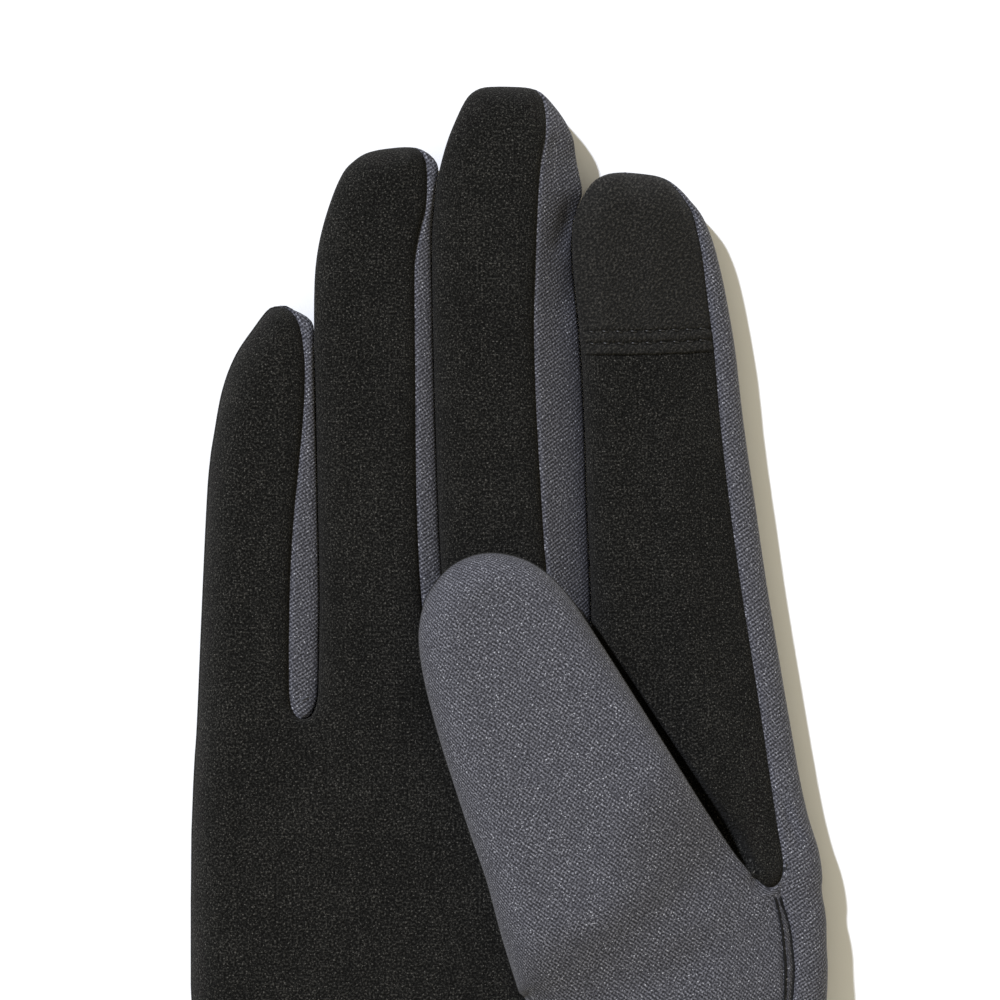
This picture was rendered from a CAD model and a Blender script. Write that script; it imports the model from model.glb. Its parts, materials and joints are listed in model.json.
"""The touchscreen glove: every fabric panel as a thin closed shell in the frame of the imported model.

All lengths are millimetres until a mesh is made. A panel that faces the viewer is a height field over its outline.
Between the palm's outline and the back's outline run strips, which are the finger sides.
"""
import bpy
import json
import math
import random
import numpy as np
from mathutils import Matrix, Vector
from mathutils.geometry import delaunay_2d_cdt


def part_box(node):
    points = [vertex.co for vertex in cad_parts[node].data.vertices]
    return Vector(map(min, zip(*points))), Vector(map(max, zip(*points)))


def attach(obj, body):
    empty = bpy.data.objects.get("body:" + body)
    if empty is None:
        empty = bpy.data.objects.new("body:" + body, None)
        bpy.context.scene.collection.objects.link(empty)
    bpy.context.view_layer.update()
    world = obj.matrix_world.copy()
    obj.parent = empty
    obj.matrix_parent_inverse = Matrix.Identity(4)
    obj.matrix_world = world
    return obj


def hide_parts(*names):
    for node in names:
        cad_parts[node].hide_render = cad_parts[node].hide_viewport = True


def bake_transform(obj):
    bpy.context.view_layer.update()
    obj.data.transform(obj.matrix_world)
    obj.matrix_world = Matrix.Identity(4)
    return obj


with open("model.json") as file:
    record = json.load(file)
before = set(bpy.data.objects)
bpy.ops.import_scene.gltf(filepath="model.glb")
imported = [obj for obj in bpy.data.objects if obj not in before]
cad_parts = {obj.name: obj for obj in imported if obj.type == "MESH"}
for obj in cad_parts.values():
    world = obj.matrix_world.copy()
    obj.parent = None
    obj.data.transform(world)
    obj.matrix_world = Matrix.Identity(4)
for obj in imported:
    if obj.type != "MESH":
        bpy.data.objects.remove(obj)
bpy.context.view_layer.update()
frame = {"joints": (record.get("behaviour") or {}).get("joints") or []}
rng = random.Random(7)

# ---- frame facts
JOINT = {j["name"]: (np.array(j["pos_m"]) * 1e3, np.array(j["axis"], float)) for j in frame["joints"]}
FINGERS = ["little", "ring", "middle", "index"]


class Hinge:
    """A hinge in plan: v runs from it towards the tip, u across."""

    def __init__(self, name):
        pos, axis = JOINT[name]
        self.o = pos[:2]
        self.z = pos[2]
        self.across = axis[:2] / np.linalg.norm(axis[:2])
        self.along = np.array([-self.across[1], self.across[0]])

    def v(self, p):
        return (np.asarray(p)[..., :2] - self.o) @ self.along

    def point(self, v, u=0.0):
        p = self.o + self.along * v + self.across * u
        return (p[0] / 1e3, p[1] / 1e3, self.z / 1e3)


MID = {f: Hinge(f + "_middle_joint") for f in FINGERS}
END = {f: Hinge(f + "_end_joint") for f in FINGERS}
GAP = {f: float(MID[f].v(END[f].o)) for f in FINGERS}
THUMB = Hinge("thumb_base_joint")
THUMB_END = Hinge("thumb_end_joint")
THUMB_GAP = float(THUMB.v(THUMB_END.o))

CUFF_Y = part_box("back_panel")[0].y * 1e3
PALM_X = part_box("back_panel")[1].x * 1e3
TOP_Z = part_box("ring_mid_palm")[1].z * 1e3
THUMB_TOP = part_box("thumb_back")[1].z * 1e3
THUMB_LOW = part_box("thumb_palm")[0].z * 1e3
WRIST_Y = (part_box("wrist_elastic")[0].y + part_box("wrist_elastic")[1].y) * 500
ROOT_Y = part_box("thumb_root")[0].y * 1e3
CROTCH_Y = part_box("fourchette_ring_middle")[0].y * 1e3 + 1.6
WIDEST_Y = CROTCH_Y - 42.0
WRIST_HALF, CUFF_HALF = 42.5, 46.0


def ease(t):
    t = np.clip(t, 0, 1)
    return t * t * (3 - 2 * t)


def mix(a, b, t):
    return a + (b - a) * t


def smooth_knots(knots):
    """A smooth function through (position, value) knots that never overshoots."""
    k = sorted(knots)
    x = np.array([a for a, _ in k], float)
    y = np.array([b for _, b in k], float)
    h = np.diff(x)
    s = np.diff(y) / h
    m = np.zeros(len(x))
    for i in range(1, len(x) - 1):
        m[i] = 0 if s[i - 1] * s[i] <= 0 else 2 * s[i - 1] * s[i] / (s[i - 1] + s[i])
    m[0], m[-1] = s[0], s[-1]

    def f(q):
        q = np.clip(np.asarray(q, float), x[0], x[-1])
        i = np.clip(np.searchsorted(x, q, side="right") - 1, 0, len(h) - 1)
        t = (q - x[i]) / h[i]
        return (y[i] * (1 + 2 * t) * (1 - t) ** 2 + m[i] * h[i] * t * (1 - t) ** 2
                + y[i + 1] * t * t * (3 - 2 * t) + m[i + 1] * h[i] * t * t * (t - 1))
    return f


def hand_half(y):
    y = np.asarray(y, float)
    upper = mix(WRIST_HALF, PALM_X, ease((y - WRIST_Y) / (WIDEST_Y - WRIST_Y)))
    lower = mix(CUFF_HALF, WRIST_HALF, ease((y - CUFF_Y) / (WRIST_Y - CUFF_Y)))
    return np.where(y >= WRIST_Y, upper, lower)


# ---- outlines, in millimetres
# Each finger's black panel: its left edge up to the tip, then its right edge, which is the seam, back down
SHAPE = {
    "little": dict(
        left=[(-50.4, 12), (-50.0, 18), (-49.2, 37), (-48.4, 54), (-47.9, 60), (-47.3, 64), (-46.0, 71), (-43.9, 76.8),
              (-41.0, 81.4), (-38.9, 84.2), (-37.5, 84.8)],
        seam=[(-36.5, 84.7), (-35.0, 83.8), (-34.0, 82.4), (-33.3, 80.0), (-32.8, 76.0), (-32.8, 71), (-33.1, 66),
              (-33.7, 59.5), (-34.6, 50), (-35.1, 41), (-35.3, 30), (-35.3, 20)]),
    "ring": dict(
        left=[(-30.6, 20), (-30.4, 38), (-30.7, 54), (-31.2, 75), (-31.3, 85), (-31.0, 91.5), (-30.0, 97),
              (-28.2, 102.7), (-26.6, 106.2), (-25.2, 107.8), (-23.4, 109.1), (-21.2, 109.8), (-18.2, 110.2),
              (-16.4, 110.3)],
        seam=[(-15.0, 110.1), (-13.9, 109.1), (-13.4, 107.2), (-13.2, 104.0), (-13.4, 100.4), (-14.1, 97.6),
              (-14.9, 93.6), (-15.2, 89.6), (-15.1, 75), (-15.0, 60), (-14.7, 48), (-14.1, 38), (-13.2, 31),
              (-12.2, 25), (-11.8, 20)]),
    "middle": dict(
        left=[(-9.0, 20), (-9.4, 27), (-10.4, 36), (-11.2, 48), (-11.8, 65), (-12.2, 80), (-12.4, 92.8), (-12.3, 98),
              (-11.9, 102.4), (-11.2, 106.5), (-10.1, 110.6), (-8.9, 113.8), (-7.3, 117.3), (-6.1, 118.9),
              (-4.4, 119.8), (-2.2, 120.0), (0.6, 120.0)],
        seam=[(3.0, 119.8), (4.6, 119.1), (5.4, 117.4), (5.8, 114.7), (5.7, 111.6), (5.1, 108.4), (4.6, 102.5),
              (4.2, 92.3), (3.9, 82), (4.2, 70), (4.9, 57), (5.5, 47), (6.0, 40), (6.3, 20)]),
    "index": dict(
        left=[(13.2, 20), (13.1, 38), (12.6, 50), (12.0, 68), (11.3, 80), (10.3, 90), (10.1, 94), (10.4, 98.6),
              (11.4, 101.4), (12.4, 103.3), (13.7, 104.9), (15.6, 105.9), (17.6, 106.2), (19.2, 106.2)],
        seam=[(21.4, 106.0), (23.4, 105.7), (25.0, 105.1), (26.4, 104.0), (28.1, 101.9), (29.3, 99.9), (30.0, 97.4),
              (30.9, 93.1), (31.8, 86), (32.9, 77.4), (33.9, 66), (35.3, 53.6), (37.0, 41), (39.0, 28), (41.0, 15),
              (42.8, 2.4), (43.7, -3.0), (43.9, -5.0)]),
}
# Width of the grey side in plan, from the seam out, by y, where the next finger doesn't end it first
GREY = {
    "little": [(18, 12), (79, 12), (81, 6), (82.4, 2.6), (83.7, 1.3), (84.2, 0.5), (84.8, 0.06)],
    "ring": [(18, 12), (103, 12), (105, 5), (107.2, 2.4), (109.1, 1.2), (110.3, 0.06)],
    "middle": [(18, 14), (99, 14), (101.6, 8.6), (103.2, 7.2), (105.1, 6.7), (108.6, 5.6), (111.8, 4.6), (113.8, 3.6),
               (116.3, 2.1), (117.9, 1.1), (119.2, 0.3), (120, 0.06)],
    "index": [(-4, 6.3), (2.4, 5.1), (9, 4.6), (22, 4.3), (40, 4.1), (54, 4.0), (66, 3.6), (77.6, 3.3), (86, 3.0),
              (93.5, 2.3), (97, 2.2), (98.8, 1.8), (100.5, 1.2), (102, 0.7), (104.4, 0.6), (105.4, 0.2),
              (106.2, 0.06)],
}
SLIT = 0.14
CROTCH_RISE = 5.5
APEX = {f: SHAPE[f]["left"][-1][1] for f in FINGERS}


def grey_width(f, y):
    k = GREY[f]
    return np.interp(y, [a for a, _ in k], [b for _, b in k])


def edge_x(points, y):
    return np.interp(y, [b for _, b in points], [a for a, _ in points])


def left_x(f, y):
    return edge_x(SHAPE[f]["left"], y)


def seam_x(f, y):
    return edge_x(SHAPE[f]["seam"][::-1], y)


def samples(a, b):
    return np.linspace(a, b, max(2, int(abs(b - a) / 0.8) + 1))


def along_y(x_of, a, b):
    """The even curve of x_of(y) from y = a to y = b."""
    y = samples(a, b)
    return even(np.c_[x_of(y), y])


def even(points, step=0.8):
    """The same curve with even spacing."""
    p = np.asarray(points, float)
    keep = np.r_[True, np.linalg.norm(np.diff(p, axis=0), axis=1) > 1e-6]
    p = p[keep]
    s = np.r_[0, np.cumsum(np.linalg.norm(np.diff(p, axis=0), axis=1))]
    q = np.linspace(0, s[-1], max(3, int(round(s[-1] / step)) + 1))
    return np.c_[np.interp(q, s, p[:, 0]), np.interp(q, s, p[:, 1])]


def normals(p, closed=False):
    """Unit normals to the right of the direction of travel, which is outwards for a curve that runs clockwise."""
    if closed:
        t = np.roll(p, -1, 0) - np.roll(p, 1, 0)
    else:
        t = np.gradient(p, axis=0)
    t = t / np.maximum(np.linalg.norm(t, axis=1), 1e-9)[:, None]
    return np.c_[-t[:, 1], t[:, 0]]


def blur(values, sigma, closed=False):
    n = len(values)
    r = int(3 * sigma) + 1
    k = np.exp(-0.5 * (np.arange(-r, r + 1) / sigma) ** 2)
    k /= k.sum()
    v = np.pad(np.asarray(values, float), r, mode="wrap" if closed else "edge")
    return np.convolve(v, k, "valid")[:n]


def catmull(points, step=0.8):
    """A smooth curve through all of the points."""
    p = np.asarray(points, float)
    q = np.vstack([2 * p[0] - p[1], p, 2 * p[-1] - p[-2]])
    out = []
    for i in range(1, len(q) - 2):
        n = max(2, int(np.linalg.norm(q[i + 1] - q[i]) / 0.4))
        for t in np.linspace(0, 1, n, endpoint=False):
            out.append(0.5 * (2 * q[i] + (q[i + 1] - q[i - 1]) * t + (2 * q[i - 1] - 5 * q[i]
                    + 4 * q[i + 1] - q[i + 2]) * t * t
                              + (3 * q[i] - q[i - 1] - 3 * q[i + 1] + q[i + 2]) * t ** 3))
    out.append(p[-1])
    return even(np.array(out), step)


def outline(f, y_left, y_seam):
    """A finger's outline: up its left side from y_left, round the tip, and down its seam to y_seam."""
    c = catmull(SHAPE[f]["left"] + SHAPE[f]["seam"], 0.3)
    top = int(np.argmax(c[:, 1]))
    up, down = c[:top + 1], c[top:]
    return up[up[:, 1] >= y_left], down[down[:, 1] >= y_seam]


def notch(f, g):
    """The palm's edge from f's seam, round the crotch, to g's left edge."""
    y = CROTCH_Y + CROTCH_RISE
    a, b = float(seam_x(f, y)), float(left_x(g, y))
    th = np.linspace(math.pi, 2 * math.pi, 24)
    x = (a + b) / 2 + (b - a) / 2 * np.sign(np.cos(th)) * np.abs(np.cos(th)) ** 0.85
    return np.c_[x, y - CROTCH_RISE * np.abs(np.sin(th)) ** 0.85]


y_top = CROTCH_Y + CROTCH_RISE
ulnar_sil = np.vstack([
    np.c_[-hand_half(samples(CUFF_Y, WIDEST_Y)), samples(CUFF_Y, WIDEST_Y)],
    [[-PALM_X, WIDEST_Y + 12], [-50.9, 0], [-50.6, 8]], outline("little", 12.5, 99)[0]])
C_UL = even(ulnar_sil)
C_UL = C_UL + normals(C_UL) * (0.28 * ease((APEX["little"] - C_UL[:, 1]) / 12))[:, None]
C_1, C_2, C_3 = (even(np.vstack([outline(f, 0, y_top)[1], notch(f, g), outline(g, y_top, 0)[0]]))
                 for f, g in zip(FINGERS, FINGERS[1:]))
C_R1 = even(outline("index", 0, -4.95)[1])
U0 = C_R1[-1]
C_U = catmull([U0, [43.75, -6.3], [43.2, -7.5], [42.5, -8.2], [41.7, -8.45], [40.8, -8.1], [39.9, -7.4], [39.0, -6.5]],
              0.45)
BASE_LEFT = np.array([1.6, -25.2])
C_B = even([C_U[-1], mix(C_U[-1], BASE_LEFT, 0.5) + [0, -1.0], BASE_LEFT])
ROOT_END = np.array([18.8, ROOT_Y + 1.0])
left_seam = smooth_knots([(ROOT_END[1], ROOT_END[0]), (-50, 9.6), (-26, 2.5), (-25.2, 1.6), (-10, -2.4), (-4, -4.6)])
C_L = along_y(left_seam, BASE_LEFT[1], ROOT_END[1])
side_seam = smooth_knots([(-5, 43.95), (-7, 43.8), (-9.2, 43.35), (-10.5, 43.5), (-12.5, 44.2), (-15, 44.9),
        (-18.6, 45.3), (-21.3, 45.55), (-27, 45.2), (-40, 44.4), (-58, 40.4), (WRIST_Y, 37.2), (-85, 37.6),
        (CUFF_Y, 40.2)])
W1 = np.array([float(side_seam(ROOT_END[1])), ROOT_END[1]])
D = along_y(side_seam, U0[1], ROOT_END[1])
D[0], D[-1] = U0, W1
C_W = even([ROOT_END, W1], 1.2)
C_R2 = along_y(side_seam, ROOT_END[1], CUFF_Y)
C_R2[0] = W1


# ---- side strips
class Strip:
    """Columns from the palm's edge P over the widest line E to the back's edge B."""

    def __init__(self, p, out, z_palm, z_wide, inset, z_back, groove, owner):
        self.p, self.owner = p, owner
        self.e, self.out = p + out, out
        self.b = self.e - normals(p) * inset[:, None]
        self.zp, self.zw, self.zb, self.groove = z_palm, z_wide, z_back, groove
        # How the side falls from the palm's edge: at first with this slope, then round a corner this square
        self.lean = np.zeros(len(p))
        self.power = np.full(len(p), 2.0)


def strip_between(curve, f, g):
    """The fourchette from f's tip down its right side, round the crotch, and up g's left side."""
    y = curve[:, 1]
    low = int(np.argmin(y))
    n = len(curve)
    nrm = normals(curve)
    yc, top = CROTCH_Y, CROTCH_Y + CROTCH_RISE
    xc = (float(seam_x(f, top)) + float(left_x(g, top))) / 2
    right = np.arange(n) < low
    reach = np.where(y < APEX[g], left_x(g, y) - curve[:, 0] - SLIT, 99)
    grey = np.minimum(grey_width(f, y), reach)
    grey = np.where(y < top, np.maximum(0.05, 2 * (xc - curve[:, 0]) - SLIT), grey)
    grey = np.minimum(blur(grey, 1.2), np.where(y < top, 99, reach))
    out = nrm * -0.25
    out[right] = np.c_[np.maximum(grey[right], 0.05), np.zeros(low)]
    tip = np.exp(-((APEX[f] - y) / 4.0) ** 2) * right + np.exp(-((APEX[g] - y) / 4.0) ** 2) * (~right)
    near = ease(1 - (y - yc) / 14)
    zp = blur(mix(mix(np.where(right, 12.6, 10.9), 12.2, near), 8.6, tip), 3)
    wide = np.linalg.norm(out, axis=1)
    lean = {"little": 0.28, "ring": 0.44, "middle": 0.66}[f] + 0.25 * (f == "middle") * ease((y - 80) / 12)
    lean = np.where(right, np.minimum(lean, (zp - 7.4) / np.maximum(wide, 0.5)), 0)
    zw = blur(mix(np.where(right, zp - lean * wide - 1.5, 8.8), 6.8, tip), 3)
    zw = np.minimum(zw, zp - 0.6)
    inset = blur(mix(np.where(right, 1.9, 1.0), 0.9, tip), 3)
    owner = [f if r else g for r in right]
    s = Strip(curve, out, zp, zw, inset, np.full(n, 1.3), np.where(right, 0.5, 0.1), owner)
    s.lean = np.maximum(np.minimum(lean, (zp - zw - 0.5) / np.maximum(wide, 0.5)), 0)
    s.power = np.where(right, 5.0, 1.0)
    return s


PAIRS = {"1": ("little", "ring"), "2": ("ring", "middle"), "3": ("middle", "index")}
S = {key: strip_between(c, *PAIRS[key]) for key, c in zip(PAIRS, (C_1, C_2, C_3))}

# The little finger's outer side: the black panel runs on round it, so its palm line has no seam
tip = np.exp(-((APEX["little"] - C_UL[:, 1]) / 7.0) ** 2)
n_ul = normals(C_UL)
P_UL = C_UL - n_ul * 0.3
one = np.ones(len(P_UL))
inset = blur(mix(1.8, 0.9, tip), 3)
S["ul"] = Strip(P_UL, n_ul * 0.3, one * 8.7, one * 6.6, inset, one * 1.3, one * 0.0, ["little"] * len(P_UL))
S["ul"].b = C_UL - n_ul * inset[:, None]
S["1"].p[0] = S["ul"].p[-1]

# The index finger's and the hand's outer side, part of the back panel, sewn to the palm and to the thumb's root
Q = np.vstack([C_R1, D[1:], C_R2[1:]])
yq = Q[:, 1]
lower = np.clip(np.where(yq > WIDEST_Y, np.interp(yq, [-24, -17, -10, -7, -4], [51, 50.8, 50.5, 50.1, 49.4]),
        hand_half(yq)) - Q[:, 0], 2, 9)
width = blur(np.where(yq > -4, grey_width("index", yq), lower), 2.5) + 0.25 * ease((100 - yq) / 12)
tip = np.exp(-((APEX["index"] - yq) / 4.0) ** 2)
hidden_seam = np.clip((-yq - 8.5) / 2.5, 0, 1)
side_z = np.interp(yq, [-27, -15, -2, 12, 60, 95, 104], [12.2, 11.8, 11.0, 9.6, 9.2, 9.2, 8.8])
S["r"] = Strip(Q, np.c_[width, np.zeros(len(Q))], blur(mix(side_z, 8.6, tip), 3),
               blur(mix(np.interp(yq, [-15, 5], [5.8, 4.8]), 6.4, tip), 3),
               blur(mix(2.4, 0.9, tip), 3), np.full(len(Q), 1.1), np.where(yq > -6, 0.45,
                       0.62 * hidden_seam), ["index"] * len(Q))
S["r"].lean = np.full(len(Q), 0.14)
S["r"].power = np.full(len(Q), 3.2)


# ---- regions
def attributes(parts):
    """One closed outline from (points, edge height, rim width, groove, how straight its rise is) parts, end to end."""
    pts, stores = [], ([], [], [], [])
    for p, *values in parts:
        n = len(p) - 1
        pts.append(p[:-1])
        for store, value in zip(stores, values + [0.0] * (4 - len(values))):
            store.append(np.broadcast_to(np.asarray(value, float), (len(p),))[:n])
    return np.vstack(pts), *(np.concatenate(v) for v in stores)


def inside(points, poly):
    res = np.zeros(len(points), bool)
    x, y = points[:, 0], points[:, 1]
    x1, y1 = poly[:, 0], poly[:, 1]
    x2, y2 = np.roll(x1, -1), np.roll(y1, -1)
    for i in range(0, len(points), 4000):
        px, py = x[i:i + 4000, None], y[i:i + 4000, None]
        cross = (y1 > py) != (y2 > py)
        with np.errstate(divide="ignore", invalid="ignore"):
            xi = x1 + (py - y1) * (x2 - x1) / (y2 - y1)
        res[i:i + 4000] = (np.sum(cross & (px < xi), axis=1) % 2) == 1
    return res


RINGS = (0.22, 0.5, 0.9, 1.5, 2.3, 3.3)


class Region:
    """A closed outline whose height rises from its edge over a rim of given width."""

    def __init__(self, parts, top):
        self.poly, self.zb, self.w, self.groove, self.straight = attributes(parts)
        self.nxt = np.roll(self.poly, -1, 0)
        self.top = top

    def near(self, pts):
        """Distance to the edge, and edge height, rim width, groove depth and straightness there."""
        pts = np.asarray(pts, float)
        out = np.zeros((len(pts), 5))
        a, ab = self.poly, self.nxt - self.poly
        l2 = np.maximum((ab ** 2).sum(1), 1e-12)
        for i in range(0, len(pts), 2500):
            p = pts[i:i + 2500]
            ap = p[:, None, :] - a[None]
            t = np.clip((ap * ab[None]).sum(2) / l2, 0, 1)
            d = np.linalg.norm(ap - t[..., None] * ab[None], axis=2)
            dm = d.min(1)
            wt = np.exp(-(d - dm[:, None]) / (0.25 + 0.28 * dm[:, None]))
            wt /= wt.sum(1)[:, None]
            out[i:i + 2500] = np.c_[dm, wt @ self.zb, wt @ self.w, wt @ self.groove, wt @ self.straight]
        return out

    def height(self, pts, facts=None):
        d, zb, w, gr, straight = (self.near(pts) if facts is None else facts).T
        q = np.clip(d / w, 0, 1)
        rise = mix(np.sqrt(1 - (1 - q) ** 2), np.sin(q * math.pi / 2), straight)
        return zb + (self.top(pts) - zb) * rise - gr * np.exp(-(d / 0.45) ** 2)

    def mesh(self, spacing, rings=RINGS, extra=()):
        nrm = normals(self.poly, closed=True)
        cand = [self.poly - nrm * r for r in rings]
        cand = [c[:: (1 if r < 1 else 2)] for c, r in zip(cand, rings)]
        ring_d = np.concatenate([np.full(len(c), r) for c, r in zip(cand, rings)])
        ring_p = np.vstack(cand)
        ok = inside(ring_p, self.poly)
        ring_p, ring_d = ring_p[ok], ring_d[ok]
        facts = self.near(ring_p)
        ok = facts[:, 0] > 0.93 * ring_d
        ring_p, ring_f = ring_p[ok], facts[ok]
        lo, hi = self.poly.min(0), self.poly.max(0)
        gx = np.arange(lo[0], hi[0], spacing)
        gy = np.arange(lo[1], hi[1], spacing * 0.866)
        grid = np.array([(x + (spacing / 2 if j % 2 else 0), y) for j, y in enumerate(gy) for x in gx])
        grid = grid[inside(grid, self.poly)]
        if len(extra):
            extra = extra[inside(extra, self.poly)]
            fe = self.near(extra)
            ok = fe[:, 0] > 0.25
            extra, fe = extra[ok], fe[ok]
            grid = grid[np.array([((extra - g) ** 2).sum(1).min() > (0.45 * spacing) ** 2 for g in grid])]
            ring_ok = np.array([((extra - g) ** 2).sum(1).min() > 0.03 for g in ring_p])
            ring_p, ring_f = np.vstack([ring_p[ring_ok], extra]), np.vstack([ring_f[ring_ok], fe])
        gf = self.near(grid)
        ok = gf[:, 0] > rings[-1] + 0.55 * spacing
        grid, gf = grid[ok], gf[ok]
        n = len(self.poly)
        inner = np.vstack([ring_p, grid])
        inner_f = np.vstack([ring_f, gf])
        z = np.r_[self.zb - self.groove, self.height(inner, inner_f)]
        xy = np.vstack([self.poly, inner])
        co, _, faces, orig, _, _ = delaunay_2d_cdt([Vector(p) for p in xy], [], [list(range(n))[::-1]], 1, 1e-5, True)
        pick = np.array([o[0] if o else -1 for o in orig])
        p2 = np.array([tuple(c) for c in co])
        zz = np.where(pick >= 0, z[np.maximum(pick, 0)], self.height(p2))
        tri = np.array([f for f in faces if len(f) == 3])
        a, b, c = (p2[tri[:, k]] for k in range(3))
        area = (b - a)[:, 0] * (c - a)[:, 1] - (b - a)[:, 1] * (c - a)[:, 0]
        tri[area < 0] = tri[area < 0][:, ::-1]
        keep = inside(p2[tri].mean(1), self.poly)
        return np.c_[p2, zz], tri[keep]


class Net:
    """Vertices, faces, normals and UVs of one whole surface, before it is cut into pieces."""

    def __init__(self, v, faces, uv):
        self.v, self.f, self.uv = v, faces, uv
        n = np.zeros_like(v)
        for f in faces:
            a, b, c = v[f[0]], v[f[1]], v[f[-1]]
            m = np.cross(b - a, c - a)
            if len(f) == 4:
                m = np.cross(v[f[2]] - v[f[0]], v[f[3]] - v[f[1]])
            for k in f:
                n[k] += m
        self.n = n / np.maximum(np.linalg.norm(n, axis=1), 1e-12)[:, None]
        self.centre = np.array([v[list(f)].mean(0) for f in faces])


def region_net(region, spacing, flip=False, turn=0.0, rings=RINGS, extra=()):
    v, tri = region.mesh(spacing, rings, extra)
    if flip:
        tri = tri[:, ::-1]
    net = Net(v, [tuple(t) for t in tri], None)
    # The map is laid flat: down a steep edge it runs on outwards by the drop
    drop = 0.8 * np.abs(region.top(v) - v[:, 2])
    side = net.n[:, :2]
    flat = v[:, :2] + side / (np.linalg.norm(side, axis=1) + 0.1)[:, None] * drop[:, None]
    c, s = math.cos(turn), math.sin(turn)
    net.uv = np.c_[flat[:, 0] * c + flat[:, 1] * s, -flat[:, 0] * s + flat[:, 1] * c] / 100
    return net


def strip_net(s, first=11, corner=6, last=6):
    """Rows of points down each column, from the palm's edge round the widest line to the back's edge."""
    n = len(s.p)
    turn_x = 0.84
    rows = []
    lean_drop = s.lean * np.linalg.norm(s.out, axis=1)
    fall = np.maximum(s.zp - lean_drop - s.zw, 0.1)
    turn_y = 1 - (1 - turn_x ** s.power) ** (1 / s.power)
    for u in np.linspace(0, 1, first):
        x = turn_x * u ** 1.6
        y = 1 - (1 - x ** s.power) ** (1 / s.power)
        rows.append(np.c_[s.p + s.out * x, s.zp - lean_drop * x - fall * y])
    for u in np.linspace(0, 1, corner + 1)[1:]:
        y = mix(turn_y, 1, u)
        x = (1 - (1 - y) ** s.power) ** (1 / s.power)
        rows.append(np.c_[s.p + s.out * x[:, None], s.zp - lean_drop * x - fall * y])
    for u in np.linspace(0, 1, last + 1)[1:]:
        a = u * math.pi / 2
        rows.append(np.c_[s.e + (s.b - s.e) * (1 - math.cos(a)), mix(s.zw, s.zb, math.sin(a))])
    v = np.array(rows)
    for k in range(len(rows)):
        dist = np.linalg.norm(v[k] - np.c_[s.p, s.zp], axis=1)
        under = np.linalg.norm(v[k] - np.c_[s.b, s.zb], axis=1)
        v[k, :, 2] += 0.25 * np.exp(-(under / 0.5) ** 2) - s.groove * np.exp(-(dist / 0.45) ** 2)
        if k < first + corner:
            v[k, :, 2] += folds(v[k, :, :2]) * min(1, (first + corner - k) / corner)
    faces = []
    for i in range(len(rows) - 1):
        for j in range(n - 1):
            a = i * n + j
            faces.append((a, a + 1, a + n + 1, a + n))
    along = np.r_[0, np.cumsum(np.linalg.norm(np.diff(s.p, axis=0), axis=1))]
    down = np.vstack([np.zeros(n), np.cumsum(np.linalg.norm(np.diff(v, axis=0), axis=2), axis=0)])
    uv = np.c_[np.tile(along, len(rows)), down.ravel()] / 100
    return Net(v.reshape(-1, 3), faces, uv)


# ---- meshes from nets
def placed(name, data):
    ob = bpy.data.objects.new(name, data)
    bpy.context.scene.collection.objects.link(ob)
    return ob


def new_object(name, co, faces, uv, mat, body=None, blend=None, replaces=(), slot=None):
    """A smooth mesh of points in mm, riding on a body or bending between two."""
    mesh = bpy.data.meshes.new(name)
    mesh.from_pydata((co / 1e3).tolist(), [], faces)
    loops = np.zeros(len(mesh.loops), int)
    mesh.loops.foreach_get("vertex_index", loops)
    mesh.uv_layers.new(name="UVMap").data.foreach_set("uv", uv[loops].astype(np.float32).ravel())
    mesh.polygons.foreach_set("use_smooth", np.ones(len(mesh.polygons), bool))
    mesh.materials.append(mat)
    mesh.update()
    ob = placed(name, mesh)
    if blend:
        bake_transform(ob)
    else:
        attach(ob, body)
    if replaces:
        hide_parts(*replaces)
    return mesh


def make(name, net, faces, mat, thick=1.0, **ties):
    """A closed shell from some of a net's faces, thickened inwards."""
    used = sorted({k for f in faces for k in f})
    index = {k: i for i, k in enumerate(used)}
    v, n, uv = net.v[used], net.n[used], net.uv[used]
    top = [tuple(index[k] for k in f) for f in faces]
    m = len(used)
    under = [tuple(k + m for k in reversed(f)) for f in top]
    edges = {}
    for f in top:
        for a, b in zip(f, f[1:] + f[:1]):
            edges[(a, b)] = 1
    rim = [(b, a, a + m, b + m) for a, b in edges if (b, a) not in edges]
    mesh = new_object(name, np.vstack([v, v - n * thick]), top + under + rim, np.vstack([uv, uv]), mat, **ties)
    mesh.normals_split_custom_set_from_vertices(np.vstack([n, -n]).tolist())


def first_blend(f):
    return ("hand", f + "_mid", MID[f].point(-9.5), MID[f].point(GAP[f] / 2 - 1))


def second_blend(f):
    return (f + "_mid", f + "_tip", MID[f].point(GAP[f] / 2 + 1), MID[f].point(GAP[f] + 9))


def finger_parts(f):
    return (1, "mid", first_blend(f)), (2, "tip", second_blend(f))


def zone(f, p):
    """0 on the hand, 1 round the middle joint, 2 round the end joint and the tip."""
    v = MID[f].v(p)
    return 0 if v < -11 else 1 if v < GAP[f] / 2 else 2


# The lines between neighbouring fingers, clear of every panel's edge
BORDERS = [smooth_knots([(18, -31.5), (54, -31.6), (75, -31.9), (85, -32.0), (92, -32.5), (110, -32.5)]),
           smooth_knots([(18, -10.2), (27, -10.4), (36, -11.2), (48, -11.9), (65, -12.5), (80, -12.8), (93, -13.0),
                         (98, -12.9),
                         (102.4, -12.6), (106.5, -12.3), (120, -12.3)]),
           smooth_knots([(18, 12.5), (50, 11.9), (80, 10.5), (94, 9.4), (98.6, 9.6), (103, 11.2), (106, 12.6),
                         (120, 14.0)])]


def finger_at(p):
    return FINGERS[sum(p[0] > float(b(p[1])) for b in BORDERS)]


def zone_of(p):
    if p[1] < CROTCH_Y + 2:
        return ("hand", 0)
    f = finger_at(p)
    z = zone(f, p)
    return ("hand", 0) if z == 0 else (f, z)


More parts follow.
